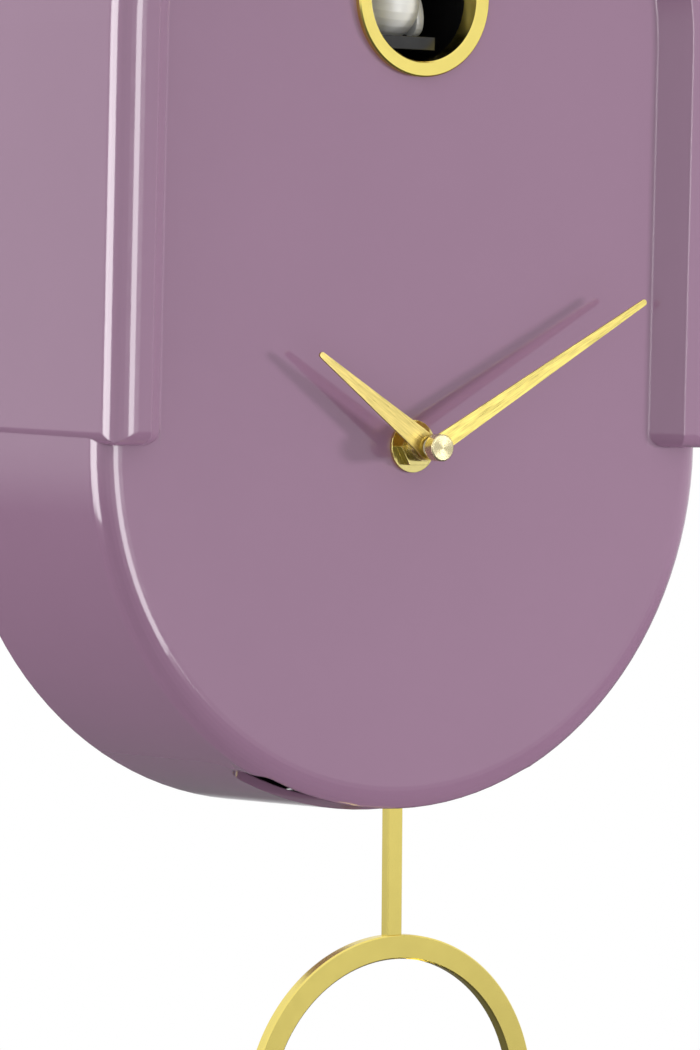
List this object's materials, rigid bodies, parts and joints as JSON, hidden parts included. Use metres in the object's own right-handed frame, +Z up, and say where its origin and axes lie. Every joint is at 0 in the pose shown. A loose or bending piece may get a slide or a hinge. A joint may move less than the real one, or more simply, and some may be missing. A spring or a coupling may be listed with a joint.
{
  "type": "wall cuckoo clock",
  "caption": "Wall cuckoo clock: glossy domed case, bird that slides out of a round window, two hands, ring pendulum through a slot in the underside.",
  "frame": {"origin": "centre of the round part of the hanging keyhole, on the rear plane", "axes": "+Z up, +Y towards the wall along the keyhole's axis, +X to the right seen from the front"},
  "size_m": [0.204, 0.0857, 0.438],
  "materials": {
    "lacquer": "gloss lacquered ABS, dusty purple",
    "black_plastic": "fine-textured black ABS",
    "dark_plastic": "satin dark grey ABS",
    "steel": "zinc plated",
    "foam": "soft foam pad",
    "cell_wrap": "plain printed sleeve",
    "gold": "satin gold plating",
    "brushed_gold": "brushed gold",
    "pale_brass": "turned brass, spun face",
    "raw_brass": "turned brass",
    "nylon": "natural acetal",
    "bird_white": "satin white",
    "beak": "satin ochre",
    "gloss_black": "gloss black",
    "rubber": "moulded rubber",
    "copper": "enamelled copper winding",
    "paper": "pressed paper cone",
    "board_green": "solder resist",
    "red_plastic": "gloss red"
  },
  "bodies": {
    "case": {"front_case": "lacquer", "back_cover": "black_plastic", "back_screws": "steel", "hanger_plate": "steel", "hanger_screws": "steel", "wall_pads": "foam", "battery_box": "black_plastic", "batteries": "cell_wrap", "battery_springs": "steel", "battery_contacts": "steel", "bird_bezel": "gold", "bird_chamber": "black_plastic", "chamber_screws": "steel", "bird_motor": "steel", "movement_front": "black_plastic", "movement_back": "black_plastic", "centre_bushing": "raw_brass", "rubber_washer": "rubber", "brass_washer": "gold", "hex_nut": "gold", "coil_bobbin": "nylon", "coil_winding": "copper", "stator": "steel", "pendulum_drive": "black_plastic", "drive_coil": "copper", "drive_screws": "steel", "pivot_pin": "steel", "speaker_frame": "black_plastic", "speaker_cone": "paper", "speaker_magnet": "steel", "sound_board": "board_green", "board_chips": "gloss_black", "board_screws": "steel", "volume_switch": "steel", "button_switch": "black_plastic"},
    "battery_door": {"battery_door": "black_plastic"},
    "bird": {"bird_carriage": "dark_plastic", "carriage_rack": "nylon", "bird_body": "bird_white", "bird_wings": "bird_white", "bird_beak": "beak", "bird_eyes": "gloss_black"},
    "rack_pinion": {"bird_pinion": "nylon", "pinion_axle": "steel"},
    "motor_shaft": {"motor_pinion": "raw_brass"},
    "minute_train": {"minute_arbor": "raw_brass", "minute_hand": "brushed_gold", "hand_cap": "pale_brass"},
    "hour_train": {"hour_wheel": "nylon", "hour_hand": "brushed_gold"},
    "setting_train": {"minute_wheel": "nylon", "time_knob": "dark_plastic"},
    "step_rotor": {"rotor": "steel"},
    "pendulum": {"pendulum_hanger": "dark_plastic", "pendulum_magnet": "steel", "pendulum_rod": "gold", "pendulum_ring": "gold"},
    "volume_slider": {"volume_slider": "nylon"},
    "test_button": {"test_button": "red_plastic"}
  },
  "joints": [
    {"name": "battery_door_lift", "type": "slide", "parent": "case", "child": "battery_door", "axis": [0, 1, 0], "range_m": [0, 0.03]},
    {"name": "bird_slide", "type": "slide", "parent": "case", "child": "bird", "axis": [0, -1, 0], "range_m": [0, 0.024]},
    {"name": "rack_pinion_spin", "type": "hinge", "parent": "case", "child": "rack_pinion", "pos_m": [0, -0.036, -0.0835], "axis": [1, 0, 0], "range_deg": [-5, 280]},
    {"name": "motor_spin", "type": "hinge", "parent": "case", "child": "motor_shaft", "pos_m": [0, -0.026, -0.0835], "axis": [1, 0, 0], "range_deg": [-840, 15]},
    {"name": "minute_hand_spin", "type": "hinge", "parent": "case", "child": "minute_train", "pos_m": [0, -0.07, -0.176], "axis": [0, 1, 0], "continuous": true},
    {"name": "hour_hand_spin", "type": "hinge", "parent": "case", "child": "hour_train", "pos_m": [0, -0.07, -0.176], "axis": [0, 1, 0], "continuous": true},
    {"name": "setting_knob_spin", "type": "hinge", "parent": "case", "child": "setting_train", "pos_m": [0, -0.05, -0.186], "axis": [0, 1, 0], "continuous": true},
    {"name": "step_rotor_spin", "type": "hinge", "parent": "case", "child": "step_rotor", "pos_m": [0.012, -0.058, -0.1685], "axis": [0, 1, 0], "continuous": true},
    {"name": "pendulum_swing", "type": "hinge", "parent": "case", "child": "pendulum", "pos_m": [0, -0.0612, -0.214], "axis": [0, 1, 0], "range_deg": [-7, 9]},
    {"name": "volume_slide", "type": "slide", "parent": "case", "child": "volume_slider", "axis": [1, 0, 0], "range_m": [0, 0.004]},
    {"name": "test_button_press", "type": "slide", "parent": "case", "child": "test_button", "axis": [0, -1, 0], "range_m": [0, 0.001], "stiffness_N_per_m": 400, "springref_m": -0.0005}
  ],
  "couplings": [
    {"joint": "rack_pinion_spin", "follows": "bird_slide", "rad_per_m": 200},
    {"joint": "motor_spin", "follows": "bird_slide", "rad_per_m": -600},
    {"joint": "hour_hand_spin", "follows": "minute_hand_spin", "ratio": 0.083333},
    {"joint": "setting_knob_spin", "follows": "minute_hand_spin", "ratio": -0.33333}
  ]
}
